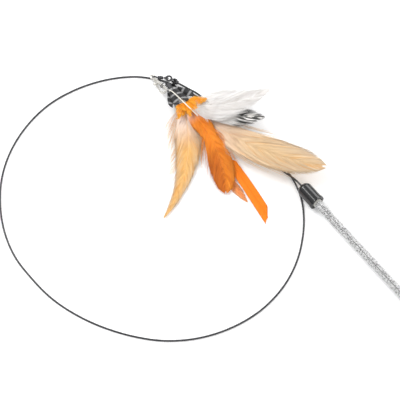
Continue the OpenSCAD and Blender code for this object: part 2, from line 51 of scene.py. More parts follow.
def clouded(name, dark, light, scale, rough, detail=2, ramp=(0, 1), metallic=0.0, specular=0.5,
            bump=0.0, bump_depth=0.1 * mm):
    """A finish that clouds from a dark to a light tone. Its roughness is one value or, as a
    pair, follows the same clouds, and so does a fine bump."""
    made, n, link, skin = new_finish(name)
    skin.inputs["Metallic"].default_value = metallic
    skin.inputs["Specular IOR Level"].default_value = specular
    place = n.new("ShaderNodeTexCoord")
    cloud = n.new("ShaderNodeTexNoise")
    cloud.inputs["Scale"].default_value = scale
    cloud.inputs["Detail"].default_value = detail
    link.new(place.outputs["Object"], cloud.inputs["Vector"])
    tone = n.new("ShaderNodeValToRGB")
    for stop, position, colour in zip(tone.color_ramp.elements, ramp, (dark, light)):
        stop.position = position
        stop.color = (*colour, 1)
    link.new(cloud.outputs["Fac"], tone.inputs["Fac"])
    link.new(tone.outputs["Color"], skin.inputs["Base Color"])
    if isinstance(rough, tuple):
        dull = n.new("ShaderNodeMapRange")
        dull.inputs["To Min"].default_value, dull.inputs["To Max"].default_value = rough
        link.new(cloud.outputs["Fac"], dull.inputs["Value"])
        link.new(dull.outputs["Result"], skin.inputs["Roughness"])
    else:
        skin.inputs["Roughness"].default_value = rough
    if bump:
        relief = n.new("ShaderNodeBump")
        relief.inputs["Strength"].default_value = bump
        relief.inputs["Distance"].default_value = bump_depth
        link.new(cloud.outputs["Fac"], relief.inputs["Height"])
        link.new(relief.outputs["Normal"], skin.inputs["Normal"])
    return made


def dress(names, finish):
    """Gives the CAD pieces of these names one finish."""
    for name in names:
        nodes[name].data.materials.clear()
        nodes[name].data.materials.append(finish)


def link_mesh(name, mesh):
    """Puts a mesh or curve into the scene as the active, selected object."""
    made = bpy.data.objects.new(name, mesh)
    bpy.context.scene.collection.objects.link(made)
    bpy.ops.object.select_all(action="DESELECT")
    made.select_set(True)
    bpy.context.view_layer.objects.active = made
    return made


# Table and light: a pale table top under soft light from above, seen from the front and
# well above, from so far off that near and far things keep the same scale.
table_middle = Vector((-0.077, 0.020, 0.0))
camera_distance = 2.2
camera_rise = math.radians(60)
seen_width = 0.28
sensor_width = 36
towards_camera = Vector((0, -math.cos(camera_rise), math.sin(camera_rise)))
bpy.ops.object.camera_add(
    location=table_middle + camera_distance * towards_camera,
    rotation=(math.pi / 2 - camera_rise, 0, 0),
)
camera = bpy.context.object
camera.data.sensor_width = sensor_width
camera.data.lens = sensor_width * camera_distance / seen_width
camera.data.clip_start = 0.05
bpy.context.scene.camera = camera
bpy.context.scene.view_settings.view_transform = "Standard"

soft_lamps = [
    ("window_lamp", (-0.75, 0.35, 0.95), 0.55, 7.5),
    ("front_lamp", (0.55, -0.75, 1.0), 0.8, 4.0),
    ("back_lamp", (0.35, 0.9, 0.7), 0.6, 4.0),
]
for name, place, size, power in soft_lamps:
    bpy.ops.object.light_add(type="AREA", location=place)
    lamp = bpy.context.object
    lamp.name = name
    lamp.data.size = size
    lamp.data.energy = power
    lamp.rotation_euler = (table_middle - Vector(place)).to_track_quat("-Z", "Y").to_euler()

sky = bpy.data.worlds.new("sky")
bpy.context.scene.world = sky
sky.use_nodes = True
sky_nodes, sky_links = sky.node_tree.nodes, sky.node_tree.links
sky_nodes.clear()
sky_out = sky_nodes.new("ShaderNodeOutputWorld")
sky_light = sky_nodes.new("ShaderNodeBackground")
sky_light.inputs["Strength"].default_value = 0.78
sky_place = sky_nodes.new("ShaderNodeTexCoord")
sky_split = sky_nodes.new("ShaderNodeSeparateXYZ")
sky_ramp = sky_nodes.new("ShaderNodeValToRGB")
sky_ramp.color_ramp.elements[0].position = 0.0
sky_ramp.color_ramp.elements[0].color = (0.30, 0.30, 0.31, 1)
sky_ramp.color_ramp.elements[1].position = 0.55
sky_ramp.color_ramp.elements[1].color = (1.0, 1.0, 1.0, 1)
sky_white = sky_nodes.new("ShaderNodeBackground")
sky_white.inputs["Color"].default_value = (1, 1, 1, 1)
sky_path = sky_nodes.new("ShaderNodeLightPath")
sky_mix = sky_nodes.new("ShaderNodeMixShader")
sky_links.new(sky_place.outputs["Generated"], sky_split.inputs[0])
sky_links.new(sky_split.outputs["Z"], sky_ramp.inputs["Fac"])
sky_links.new(sky_ramp.outputs["Color"], sky_light.inputs["Color"])
sky_links.new(sky_path.outputs["Is Camera Ray"], sky_mix.inputs[0])
sky_links.new(sky_light.outputs[0], sky_mix.inputs[1])
sky_links.new(sky_white.outputs[0], sky_mix.inputs[2])
sky_links.new(sky_mix.outputs[0], sky_out.inputs["Surface"])

bpy.ops.mesh.primitive_plane_add(size=6, location=(table_middle.x, table_middle.y, 0))
table = bpy.context.object
table.name = "table"
table_finish, table_nodes, table_links, table_skin = new_finish("white_table")
table_skin.inputs["Base Color"].default_value = (0.96, 0.96, 0.965, 1)
table_skin.inputs["Roughness"].default_value = 0.9
table_skin.inputs["Specular IOR Level"].default_value = 0.1
table_glow = table_nodes.new("ShaderNodeEmission")
table_glow.inputs["Color"].default_value = (1, 1, 1, 1)
table_add = table_nodes.new("ShaderNodeAddShader")
table_path = table_nodes.new("ShaderNodeLightPath")
table_share = table_nodes.new("ShaderNodeMath")
table_share.operation = "MULTIPLY"
table_share.inputs[1].default_value = 0.10
table_links.new(table_path.outputs["Is Camera Ray"], table_share.inputs[0])
table_links.new(table_share.outputs[0], table_glow.inputs["Strength"])
table_links.new(table_skin.outputs[0], table_add.inputs[0])
table_links.new(table_glow.outputs[0], table_add.inputs[1])
table_links.new(table_add.outputs[0], table_nodes["Material Output"].inputs["Surface"])
table.data.materials.append(table_finish)

# Spring wire: one length of hard steel wire, 1.3 mm thick with a black plastic coat. It
# comes out of the front cap, lies once round in a loop and ends in the crimped sleeve.
wire_d = 1.3 * mm
wire_route = [
    (0.00016, 0.02032, 0.0057), (-0.006, 0.0282, 0.0057), (-0.01093, 0.0345, 0.0045),
    (-0.019, 0.0434, 0.0009), (-0.029, 0.054, 0.00065), (-0.053, 0.0786, 0.00065),
    (-0.077, 0.103, 0.00065), (-0.0966, 0.114, 0.0016), (-0.106, 0.1186, 0.00065),
    (-0.124, 0.1215, 0.00065), (-0.145, 0.1186, 0.00065), (-0.166, 0.1105, 0.00065),
    (-0.185, 0.0976, 0.00065), (-0.2, 0.08, 0.00065), (-0.2106, 0.0595, 0.00065),
    (-0.2162, 0.0375, 0.00065), (-0.2166, 0.015, 0.00065), (-0.213, -0.006, 0.00065),
    (-0.205, -0.026, 0.00065), (-0.1926, -0.0435, 0.00065), (-0.1784, -0.059, 0.00065),
    (-0.1616, -0.0714, 0.00065), (-0.143, -0.081, 0.00065), (-0.122, -0.088, 0.00065),
    (-0.1, -0.0913, 0.00065), (-0.077, -0.089, 0.00065), (-0.055, -0.081, 0.00065),
    (-0.0356, -0.068, 0.00065), (-0.02, -0.05, 0.00065), (-0.01, -0.0294, 0.00065),
    (-0.0052, -0.007, 0.00065), (-0.005, 0.013, 0.00065), (-0.0086, 0.029, 0.00065),
    (-0.016, 0.0436, 0.00065), (-0.0277, 0.0554, 0.00065), (-0.0517, 0.08, 0.00065),
    (-0.0757, 0.1044, 0.0009), (-0.085, 0.1104, 0.002), (-0.0931, 0.1149, 0.0031),
    (-0.0947, 0.1159, 0.0031),
]


def smooth_line(points, steps):
    """Points on a smooth curve through the given points."""
    made = []
    for i in range(len(points) - 1):
        near = [max(0, min(len(points) - 1, k)) for k in range(i - 1, i + 3)]
        a, b, c, d = (Vector(points[k]) for k in near)
        for s in range(steps):
            t = s / steps
            made.append(0.5 * (2 * b + (c - a) * t + (2 * a - 5 * b + 4 * c - d) * t * t
                               + (3 * b - a - 3 * c + d) * t ** 3))
    return made + [Vector(points[-1])]


line_steps = 8
wire_line = [Vector((p.x, p.y, max(p.z, wire_d / 2))) for p in smooth_line(wire_route, line_steps)]
wire_curve = bpy.data.curves.new("spring_wire_curve", "CURVE")
wire_curve.dimensions = "3D"
wire_curve.bevel_depth = wire_d / 2
wire_curve.bevel_resolution = 3
wire_curve.use_fill_caps = True
wire_spline = wire_curve.splines.new("POLY")
wire_spline.points.add(len(wire_line) - 1)
for point, place in zip(wire_spline.points, wire_line):
    point.co = (*place, 1)
coated_wire = link_mesh("coated_spring_wire", wire_curve)
wire_coat = clouded("black_wire_coat", (0.010, 0.010, 0.012), (0.035, 0.035, 0.040), 900, 0.36,
                    detail=3, bump=0.15, bump_depth=0.05 * mm)
wire_curve.materials.append(wire_coat)
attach(coated_wire, "wand")
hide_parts("spring_wire")
dress(["wire_eye"], wire_coat)

# Handle tube: a clear hard plastic tube, 8 mm outside and 6.8 mm inside, cut square with
# its edges just broken. It holds the foil and carries a soft cap on each end. Its wall shows
# by its shine and a faint grey, without bending what lies behind it.
handle_tip = Vector((-0.006, 0.0282, 0.0057))
handle_turn = Matrix.Rotation(math.radians(-52), 4, "Z") @ Matrix.Rotation(math.pi / 2, 4, "Y")
tube_start, tube_len, tube_r, tube_wall = 4.05 * mm, 180 * mm, 4 * mm, 0.6 * mm


def lay_on_handle(piece, along):
    """Lays a piece from its local Z onto the handle's line, and puts its place into its mesh."""
    shift = Matrix.Translation((0, 0, along))
    piece.matrix_world = Matrix.Translation(handle_tip) @ handle_turn @ shift
    bpy.ops.object.select_all(action="DESELECT")
    piece.select_set(True)
    bpy.context.view_layer.objects.active = piece
    bpy.ops.object.transform_apply(location=True, rotation=True, scale=True)
    bpy.ops.object.select_all(action="DESELECT")


bpy.ops.mesh.primitive_cylinder_add(
    vertices=96, radius=tube_r, depth=tube_len, end_fill_type="NOTHING",
)
clear_tube = bpy.context.object
clear_tube.name = "clear_tube"
wall = clear_tube.modifiers.new("wall", "SOLIDIFY")
wall.thickness = tube_wall
wall.offset = -1
edge = clear_tube.modifiers.new("edge", "BEVEL")
edge.width = 0.12 * mm
edge.segments = 2
edge.limit_method = "ANGLE"
bpy.ops.object.modifier_apply(modifier="wall")
bpy.ops.object.modifier_apply(modifier="edge")
bpy.ops.object.shade_smooth_by_angle(angle=math.radians(40))
lay_on_handle(clear_tube, tube_start + tube_len / 2)

tube_finish, tube_nodes, tube_links, tube_skin = new_finish("clear_acrylic")
tube_skin.inputs["Base Color"].default_value = (0.80, 0.80, 0.80, 1)
tube_skin.inputs["Alpha"].default_value = 0.09
tube_skin.inputs["Specular IOR Level"].default_value = 0.9
tube_place = tube_nodes.new("ShaderNodeTexCoord")
tube_scratch = tube_nodes.new("ShaderNodeTexNoise")
tube_scratch.inputs["Scale"].default_value = 350
tube_scratch.inputs["Detail"].default_value = 5
tube_dull = tube_nodes.new("ShaderNodeMapRange")
tube_dull.inputs["To Min"].default_value = 0.01
tube_dull.inputs["To Max"].default_value = 0.03
tube_links.new(tube_place.outputs["Object"], tube_scratch.inputs["Vector"])
tube_links.new(tube_scratch.outputs["Fac"], tube_dull.inputs["Value"])
tube_links.new(tube_dull.outputs["Result"], tube_skin.inputs["Roughness"])
clear_tube.data.materials.append(tube_finish)
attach(clear_tube, "wand")
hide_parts("handle_tube")

# Foil: a strip of thin silver film, crumpled and rolled up, pushed into the tube. Its long
# edges overlap in a seam, drawn as a darker line along the handle by painted shade; the
# deep creases are darkened with painted shade too.
foil_start, foil_len = 18.4 * mm, 165.35 * mm
foil_rows, foil_cols = 560, 46
foil_from, foil_overlap = math.radians(150), math.radians(50)
foil_r, foil_most_r, foil_rise = 2.72 * mm, 3.08 * mm, 0.30 * mm
crease_depth, wave_depth = 0.45 * mm, 0.10 * mm
cell_round, cell_long, cell_scale, wave_scale = 6, 1.9, 0.46, 0.35
# Painted shade: how far the overlap seam and the deep creases darken the foil's colour.
seam_shade, crease_shade = 0.9, 0.5
foil_points, foil_faces, foil_shade = [], [], []
for i in range(foil_rows + 1):
    z = foil_len * i / foil_rows
    for j in range(foil_cols + 1):
        a = foil_from + (2 * math.pi + foil_overlap) * j / foil_cols
        lift = foil_rise * j / foil_cols
        here = Vector((math.cos(a) * cell_round, math.sin(a) * cell_round, z / mm * cell_long))
        near = noise.voronoi(here * cell_scale)[0]
        crease = min(1.0, (near[1] - near[0]) * 1.4)
        wave = noise.noise(here * wave_scale)
        r = foil_r + lift - crease_depth * (1 - crease) ** 2 + wave_depth * wave
        r = min(r, foil_most_r)
        foil_points.append((r * math.cos(a), r * math.sin(a), z))
        # Painted shade: the seam's column and the deep creases get a darkening share.
        foil_shade.append(seam_shade if j >= foil_cols - 1 else crease_shade * (1 - crease) ** 4)
for i in range(foil_rows):
    for j in range(foil_cols):
        k = i * (foil_cols + 1) + j
        foil_faces.append((k, k + 1, k + foil_cols + 2, k + foil_cols + 1))
foil_mesh = bpy.data.meshes.new("foil_roll")
foil_mesh.from_pydata(foil_points, [], foil_faces)
foil_mesh.attributes.new("shade", "FLOAT", "POINT").data.foreach_set("value", foil_shade)
foil_roll = link_mesh("foil_roll", foil_mesh)
film = foil_roll.modifiers.new("film", "SOLIDIFY")
film.thickness = 0.03 * mm
film.offset = -1
bpy.ops.object.modifier_apply(modifier="film")
lay_on_handle(foil_roll, foil_start)

foil_finish, foil_nodes, foil_links, foil_skin = new_finish("silver_foil")
foil_skin.inputs["Metallic"].default_value = 1.0
foil_place = foil_nodes.new("ShaderNodeTexCoord")
foil_cloud = foil_nodes.new("ShaderNodeTexNoise")
foil_cloud.inputs["Scale"].default_value = 900
foil_cloud.inputs["Detail"].default_value = 4
foil_ramp = foil_nodes.new("ShaderNodeValToRGB")
foil_ramp.color_ramp.elements[0].position = 0.42
foil_ramp.color_ramp.elements[0].color = (0.34, 0.34, 0.34, 1)
foil_ramp.color_ramp.elements[1].position = 0.52
foil_ramp.color_ramp.elements[1].color = (0.82, 0.82, 0.82, 1)
# The shade mark paints shade into the foil's colour, at the seam and in the creases.
foil_shade_mark = foil_nodes.new("ShaderNodeAttribute")
foil_shade_mark.attribute_name = "shade"
foil_painted_shade = foil_nodes.new("ShaderNodeMix")
foil_painted_shade.data_type = "RGBA"
foil_painted_shade.inputs["B"].default_value = (0.12, 0.12, 0.12, 1)
foil_dull = foil_nodes.new("ShaderNodeMapRange")
foil_dull.inputs["To Min"].default_value = 0.16
foil_dull.inputs["To Max"].default_value = 0.42
foil_links.new(foil_place.outputs["Object"], foil_cloud.inputs["Vector"])
foil_links.new(foil_cloud.outputs["Fac"], foil_ramp.inputs["Fac"])
foil_links.new(foil_shade_mark.outputs["Fac"], foil_painted_shade.inputs["Factor"])
foil_links.new(foil_ramp.outputs["Color"], foil_painted_shade.inputs["A"])
foil_links.new(foil_painted_shade.outputs["Result"], foil_skin.inputs["Base Color"])
foil_links.new(foil_cloud.outputs["Fac"], foil_dull.inputs["Value"])
foil_links.new(foil_dull.outputs["Result"], foil_skin.inputs["Roughness"])
foil_roll.data.materials.append(foil_finish)
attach(foil_roll, "wand")
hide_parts("foil_insert")

# End caps: soft black vinyl, dipped, so that they are glossy, with a round nose and a
# rolled lip. Each is stretched over its end of the tube.
cap_finish = clouded("black_vinyl", (0.006, 0.006, 0.007), (0.014, 0.014, 0.015), 260, (0.10, 0.20),
                     detail=6, specular=0.6, bump=0.05)
dress(["front_cap", "rear_cap"], cap_finish)

# Plug: a bead of set glue inside the front of the tube that grips the wire's end.
dress(["wire_plug"], clouded("set_glue", (0.72, 0.70, 0.62), (0.86, 0.85, 0.80), 400, 0.45))


# Crimped sleeve, tie, swivel and jump ring: the sleeve, the swivel and the ring are brass
# with a cloudy black nickel plating; the tie is a black band.
def metal(name, dark, light, scale, rough):
    """A metal with a cloudy colour, duller where it is lighter."""
    return clouded(name, dark, light, scale, rough, detail=4, ramp=(0.35, 0.65), metallic=1.0)


black_nickel = metal("black_nickel", (0.05, 0.05, 0.055), (0.20, 0.20, 0.21), 900, (0.18, 0.36))
dress(["crimp_sleeve", "swivel_front_eye", "swivel_barrel", "swivel_rear_eye", "jump_ring"],
      black_nickel)
tie_finish = cap_finish.copy()
tie_finish.name = "black_tie"
dress(["loop_tie"], tie_finish)

# Lobster clasp: a cast body and a sprung lever, both nickel plated; pin and spring are
# bare steel.
clasp_nickel = metal("clasp_nickel", (0.62, 0.60, 0.55), (0.86, 0.84, 0.80), 700, (0.14, 0.30))
bare_steel = metal("bare_steel", (0.45, 0.44, 0.43), (0.66, 0.65, 0.63), 900, (0.25, 0.4))
dress(["clasp_body", "clasp_lever"], clasp_nickel)
dress(["clasp_pin", "clasp_spring"], bare_steel)

# Lure neck and core: a loop of waxed cord glued between the quills, a dark shrunk sleeve
# over it, the bound quills that carry the feathers, and the thread wound round them.
neck_finish = clouded("dark_sleeve", (0.020, 0.020, 0.023), (0.075, 0.075, 0.082), 800, 0.55,
                      bump=0.4)
dress(["neck_loop", "neck_sleeve", "thread_binding"], neck_finish)
quill_finish = clouded("pale_quill", (0.74, 0.69, 0.58), (0.90, 0.88, 0.82), 500, 0.38)
dress(["lure_core", "bare_quill"], quill_finish)

# Barred head feathers: three short stiff feathers, black with grey bars, tied round the
# neck so that they close into a cone. Every feather here is a quill with hundreds of fine
# barbs, and each barb is a thin closed blade that runs out to the vane's edge.
neck_at = Vector((-0.100919, 0.114434, 0.0))
lure_turn = Matrix.Translation(neck_at) @ Matrix.Rotation(math.radians(-54), 4, "Z")
core_start_z, core_rise = 3.1, math.tan(math.radians(5))
core_end, core_r, quill_d, foot_gap = 22.55, 1.15, 0.8, 0.3


def core_z(x):
    """Height of the lure's core above the table, x along it, in millimetres."""
    return core_start_z + x * core_rise


def foot(x, angle, over=0.0):
    """Foot of a feather on the core: x along it, angle round it, over what covers the core."""
    r, turn = core_r + over + quill_d / 2 + foot_gap, math.radians(angle)
    return Vector((x, r * math.cos(turn), core_z(x) + r * math.sin(turn)))


def share_at(table, f):
    """Value at f in a table of (place, value) pairs."""
    for (a, va), (b, vb) in zip(table, table[1:]):
        if f <= b:
            return va + (vb - va) * max(0.0, (f - a)) / (b - a)
    return table[-1][1]


class Feather:
    """The line and the curled cross-section of one feather, in the lure's own millimetres.
    It leaves its foot at heading and turns by bend. Its tip is at height end_z, and it arches
    between. The vane covers wrap degrees of a round and is rolled about the quill. An end
    under 1 in ends cuts that side short, from trim_from on."""

    probe, most_curl = 0.01, 0.95

    def __init__(self, start, length, width, shares, heading, bend, end_z, wrap, arch=0, roll=0):
        self.start, self.length, self.width, self.shares = start, length, width, shares
        self.heading, self.turn = math.radians(heading), math.radians(bend)
        self.end_z, self.arch = end_z, arch
        self.curl = (width / 2) / math.sin(math.radians(wrap / 2))
        self.roll = math.radians(roll)
        self.ends, self.trim_from = {-1: 1.0, 1: 1.0}, 0.9

    def line(self, f):
        g = min(max(f, 0.0), 1.0)
        k = self.length / self.turn
        x = k * (math.sin(self.heading + self.turn * f) - math.sin(self.heading))
        y = k * (math.cos(self.heading) - math.cos(self.heading + self.turn * f))
        z = (self.end_z - self.start.z) * g * g * (3 - 2 * g) + self.arch * 4 * g * (1 - g)
        return self.start + Vector((x, y, z))

    def axes(self, f):
        t = (self.line(f + self.probe) - self.line(f - self.probe)).normalized()
        side = Vector((0, 0, 1)).cross(t).normalized()
        up = t.cross(side)
        c, s = math.cos(self.roll), math.sin(self.roll)
        return t, side * c + up * s, up * c - side * s

    def at(self, f, across, lift=0.0):
        """A point f along the quill, across it on the curled vane, and lifted off the vane."""
        t, side, up = self.axes(f)
        a = math.asin(max(-self.most_curl, min(self.most_curl, across / self.curl)))
        out, rise = self.curl * math.sin(a), self.curl * (math.cos(a) - 1) + lift
        return self.line(f) + side * out + up * rise

    def half(self, f, side):
        """Half the vane's width at f; a side that ends early is cut slantwise to the quill."""
        trim = 0.0
        if self.ends[side] < 1:
            trim = min(1.0, max(0.0, (f - self.trim_from) / (self.ends[side] - self.trim_from)))
        return self.width / 2 * share_at(self.shares, f) * (1 - trim)

    def end(self, span, side, share):
        """Where along the vane's edge of one side a barb ends, by its share of the span."""
        return span[0] + (min(span[1], self.ends[side]) - span[0]) * share

    def root(self, end, reach, lean, span):
        """Where the barb that ends there leaves the quill, as it leans forwards by lean."""
        return max(end - reach / math.tan(math.radians(lean)) / self.length, span[0] * 0.4)


def barb_sweep(t):
    """How far forward and how far out a barb has gone at t of its length: it leaves the quill
    steeply and bends forwards."""
    return 0.55 * t + 0.45 * t * t, 1 - (1 - t) ** 1.5


class Blades:
    """Gathers thin closed blades and tubes with what the finish needs to know of each point:
    its place along the quill and across the vane, its barb's root, a chance tint, and whether
    it is of the shaft."""

    def __init__(self):
        self.points, self.faces = [], []
        self.marks = {"along": [], "across": [], "root": [], "tint": [], "shaft": []}

    def add(self, ring_points, along, across, root, tint, shaft=0.0):
        self.points.extend(ring_points)
        for key, value in zip(self.marks, (along, across, root, tint, shaft)):
            self.marks[key].extend([value] * len(ring_points))

    def blade(self, path, normals, widths, thickness, alongs, acrosses, root, tint):
        first, last = len(self.points), len(path) - 1
        for i, p in enumerate(path[:-1]):
            t = (path[i + 1] - path[max(i - 1, 0)]).normalized()
            side = normals[i].cross(t)
            side = side.normalized() if side.length > 1e-9 else Vector((0, 1, 0))
            w = widths[i] / 2
            self.add([p + side * w, p - side * w, p + normals[i] * thickness],
                     alongs[i], acrosses[i], root, tint)
        self.add([path[-1]], alongs[-1], acrosses[-1], root, tint)
        self.faces.append((first, first + 1, first + 2))
        for i in range(last - 1):
            a = first + 3 * i
            for j in range(3):
                k = (j + 1) % 3
                self.faces.append((a + j, a + 3 + j, a + 3 + k, a + k))
        a = first + 3 * (last - 1)
        for j in range(3):
            self.faces.append((a + j, a + 3, a + (j + 1) % 3))

    def tube(self, path, radii, sides, alongs):
        first, last = len(self.points), len(path) - 1
        angles = [2 * math.pi * j / sides for j in range(sides)]
        for i, p in enumerate(path):
            t = (path[min(i + 1, last)] - path[max(i - 1, 0)]).normalized()
            side = Vector((0, 0, 1)).cross(t).normalized()
            up = t.cross(side)
            self.add([p + (side * math.cos(a) + up * math.sin(a)) * radii[i] for a in angles],
                     alongs[i], 0.0, alongs[i], 0.5, 1.0)
        self.faces.append(tuple(first + j for j in range(sides)))
        self.faces.append(tuple(first + last * sides + j for j in reversed(range(sides))))
        for i in range(last):
            a = first + i * sides
            for j in range(sides):
                k = (j + 1) % sides
                self.faces.append((a + j, a + sides + j, a + sides + k, a + k))

    def piece(self, name, finish):
        """The mesh object in its finish, laid where the lure lies, its blades facing outwards."""
        mesh = bpy.data.meshes.new(name)
        over_table = 0.05
        placed = [lure_turn @ (Vector((p.x, p.y, max(p.z, over_table))) * mm) for p in self.points]
        mesh.from_pydata([tuple(p) for p in placed], [], self.faces)
        for key, values in self.marks.items():
            mesh.attributes.new(key, "FLOAT", "POINT").data.foreach_set("value", values)
        mesh.materials.append(finish)
        made = link_mesh(name, mesh)
        bpy.ops.object.mode_set(mode="EDIT")
        bpy.ops.mesh.select_all(action="SELECT")
        bpy.ops.mesh.normals_make_consistent(inside=False)
        bpy.ops.object.mode_set(mode="OBJECT")
        bpy.ops.object.shade_smooth()
        made.select_set(False)
        return made


def vane(f, blades, rng, step, span, lean, width, stray, pull, rise, lock=4.0):
    """Barbs down both sides of a quill, a step apart over a span of it. Each runs out and
    forwards to its own point of the vane's edge, and barbs near each other draw together
    into pointed locks."""
    seed = rng.uniform(0, 50)
    count = max(4, int(f.length * (span[1] - span[0]) / step))
    parts, thickness, least_reach = 6, 0.06, 0.25
    for side in (-1, 1):
        for i in range(count):
            end = f.end(span, side, (i + rng.uniform(0.2, 0.8)) / count)
            reach = f.half(end, side) * (1 + rng.uniform(-stray, stray) * 0.5)
            if rng.random() < stray * 0.35:
                reach *= rng.uniform(0.5, 0.85)
            reach = max(reach, least_reach)
            root = f.root(end, reach, lean, span)
            jitter = 0.8 * noise.noise(Vector((end * f.length * 0.3, seed, side)))
            lock_centre = (math.floor(end * f.length / lock + jitter) + 0.6) * lock / f.length
            draw = (lock_centre - end) * pull
            lift = rng.uniform(-rise, rise)
            path, normals, widths, alongs, acrosses = [], [], [], [], []
            for k in range(parts + 1):
                t = k / parts
                forward, out = barb_sweep(t)
                along = min(root + (end - root) * forward + draw * t * t, 0.999)
                wave = 0.5 * rise * noise.noise(Vector((root * f.length * 0.5, t * 3, seed + side)))
                path.append(f.at(along, side * reach * out, lift * t + wave))
                normals.append(f.axes(along)[2])
                widths.append(width * (1.0 - 0.7 * t ** 2))
                alongs.append(along)
                acrosses.append(side * t)
            blades.blade(path, normals, widths, thickness, alongs, acrosses, root, rng.random())


def backing(f, blades, span, lean, reach_share=0.9, drop=0.05):
    """A thin sheet under the barbs of both sides, so that the vane is closed as on a real
    feather, where the barbs hook into each other."""
    rows, steps, thin, tint = 90, 5, 0.06, 0.3
    for side in (-1, 1):
        lines, marks = [], []
        for i in range(rows + 1):
            end = f.end(span, side, i / rows)
            reach = max(f.half(end, side) * reach_share, 0.1)
            root = f.root(end, reach, lean, span)
            for k in range(steps + 1):
                t = k / steps
                forward, out = barb_sweep(t)
                along = min(root + (end - root) * forward, 0.999)
                lines.append((along, side * reach * out))
                marks.append((along, side * t, root, tint))
        first = len(blades.points)
        for depth in (drop, drop + thin):
            for (along, across), mark in zip(lines, marks):
                blades.add([f.at(along, across, -depth)], *mark)
        row, layer = steps + 1, len(lines)
        for i in range(rows):
            for k in range(steps):
                a = first + i * row + k
                b = a + layer
                blades.faces.append((a, a + 1, a + row + 1, a + row))
                blades.faces.append((b, b + row, b + row + 1, b + 1))
            for k in (0, steps):
                a = first + i * row + k
                blades.faces.append((a, a + row, a + layer + row, a + layer))
        for i in (0, rows):
            for k in range(steps):
                a = first + i * row + k
                blades.faces.append((a, a + 1, a + layer + 1, a + layer))


def quill(f, blades, thick, last=0.97):
    """The feather's quill, tapering from its foot towards the tip."""
    parts, sides, lift, taper = 26, 6, 0.05, 0.85
    alongs = [last * i / parts for i in range(parts + 1)]
    radii = [thick / 2 * (1 - taper * i / parts) for i in range(parts + 1)]
    blades.tube([f.at(along, 0, lift) for along in alongs], radii, sides, alongs)


def fluff(f, blades, rng, step, span, long, thin, hairs, spread, hair_len=1.1, loft=0.35):
    """Loose down: long soft barbs that wave about, each with fine hairs along it."""
    count = max(3, int(f.length * (span[1] - span[0]) / step))
    parts, least_size = 7, 0.8
    for side in (-1, 1):
        for i in range(count):
            g = span[0] + (span[1] - span[0]) * (i + rng.random()) / count
            size = long * (0.45 + 0.55 * share_at(f.shares, g)) * rng.uniform(0.6, 1.1)
            if size < least_size:
                continue
            lean_out = math.radians(rng.uniform(*spread))
            seed = rng.uniform(0, 100)
            path, normals, widths, alongs, acrosses = [], [], [], [], []
            forward, out = 0.0, 0.0
            for k in range(parts + 1):
                t = k / parts
                along = min(g + forward / f.length, 0.99)
                lift = loft * size * t * (0.35 + noise.noise(Vector((t * 2.2, seed, 1.7))))
                side_axis, up_axis = f.axes(along)[1:]
                path.append(f.at(along, 0) + side_axis * side * out + up_axis * lift)
                normals.append(up_axis)
                widths.append(thin * (1 - 0.6 * t))
                alongs.append(along)
                acrosses.append(side * t)
                sway = 0.9 * noise.noise(Vector((t * 1.8, seed, 5.1)))
                lean_now = lean_out * (1 - 0.55 * t) + sway
                forward += size / parts * math.cos(lean_now)
                out += size / parts * math.sin(lean_now)
            tint = rng.random()
            blades.blade(path, normals, widths, thin * 0.5, alongs, acrosses, g, tint)
            for h in range(hairs):
                t = (h + rng.random()) / hairs
                k = min(int(t * parts), parts - 1)
                base = path[k].lerp(path[k + 1], t * parts - k)
                ahead = (path[k + 1] - path[k]).normalized()
                turn = rng.uniform(0, 2 * math.pi)
                away = normals[k] * math.sin(turn) + normals[k].cross(ahead) * math.cos(turn)
                away = away.normalized()
                reach = rng.uniform(0.5, 1.0)
                tip = base + (away * 0.8 + ahead * 0.6) * hair_len * reach * (1 - 0.4 * t)
                mid = base.lerp(tip, 0.5) + ahead * 0.1
                blades.blade([base, mid, tip], [away.cross(ahead).normalized()] * 3,
                             [thin * 0.45, thin * 0.3, 0], thin * 0.2,
                             [alongs[k]] * 3, [side * t] * 3, g, tint)


# What every feather's finish reads from the blades' marks: streaks of noise that follow the
# barbs, and the marks themselves.
barb_streaks = bpy.data.node_groups.new("barb_streaks", "ShaderNodeTree")
barb_streaks.interface.new_socket(name="Count", in_out="INPUT", socket_type="NodeSocketFloat")
for key in ("Streak", "Tint", "Along", "Across", "Side", "Shaft"):
    barb_streaks.interface.new_socket(name=key, in_out="OUTPUT", socket_type="NodeSocketFloat")
streak_nodes, streak_links = barb_streaks.nodes, barb_streaks.links
streak_in = streak_nodes.new("NodeGroupInput")
streak_out = streak_nodes.new("NodeGroupOutput")
streak_marks = {}
for key in ("along", "across", "root", "tint", "shaft"):
    mark = streak_nodes.new("ShaderNodeAttribute")
    mark.attribute_name = key
    streak_marks[key] = mark.outputs["Fac"]
streak_scale = streak_nodes.new("ShaderNodeMath")
streak_scale.operation = "MULTIPLY"
streak_vector = streak_nodes.new("ShaderNodeCombineXYZ")
streak_cloud = streak_nodes.new("ShaderNodeTexNoise")
streak_cloud.inputs["Scale"].default_value = 1.0
streak_cloud.inputs["Detail"].default_value = 3
streak_links.new(streak_marks["root"], streak_scale.inputs[0])
streak_links.new(streak_in.outputs["Count"], streak_scale.inputs[1])
streak_links.new(streak_scale.outputs[0], streak_vector.inputs["X"])
streak_links.new(streak_marks["across"], streak_vector.inputs["Y"])
streak_links.new(streak_vector.outputs[0], streak_cloud.inputs["Vector"])
streak_links.new(streak_cloud.outputs["Fac"], streak_out.inputs["Streak"])
streak_out_from = streak_nodes.new("ShaderNodeMath")
streak_out_from.operation = "ABSOLUTE"
streak_links.new(streak_marks["across"], streak_out_from.inputs[0])
streak_links.new(streak_out_from.outputs[0], streak_out.inputs["Across"])
streak_links.new(streak_marks["across"], streak_out.inputs["Side"])
for key in ("tint", "along", "shaft"):
    streak_links.new(streak_marks[key], streak_out.inputs[key.capitalize()])


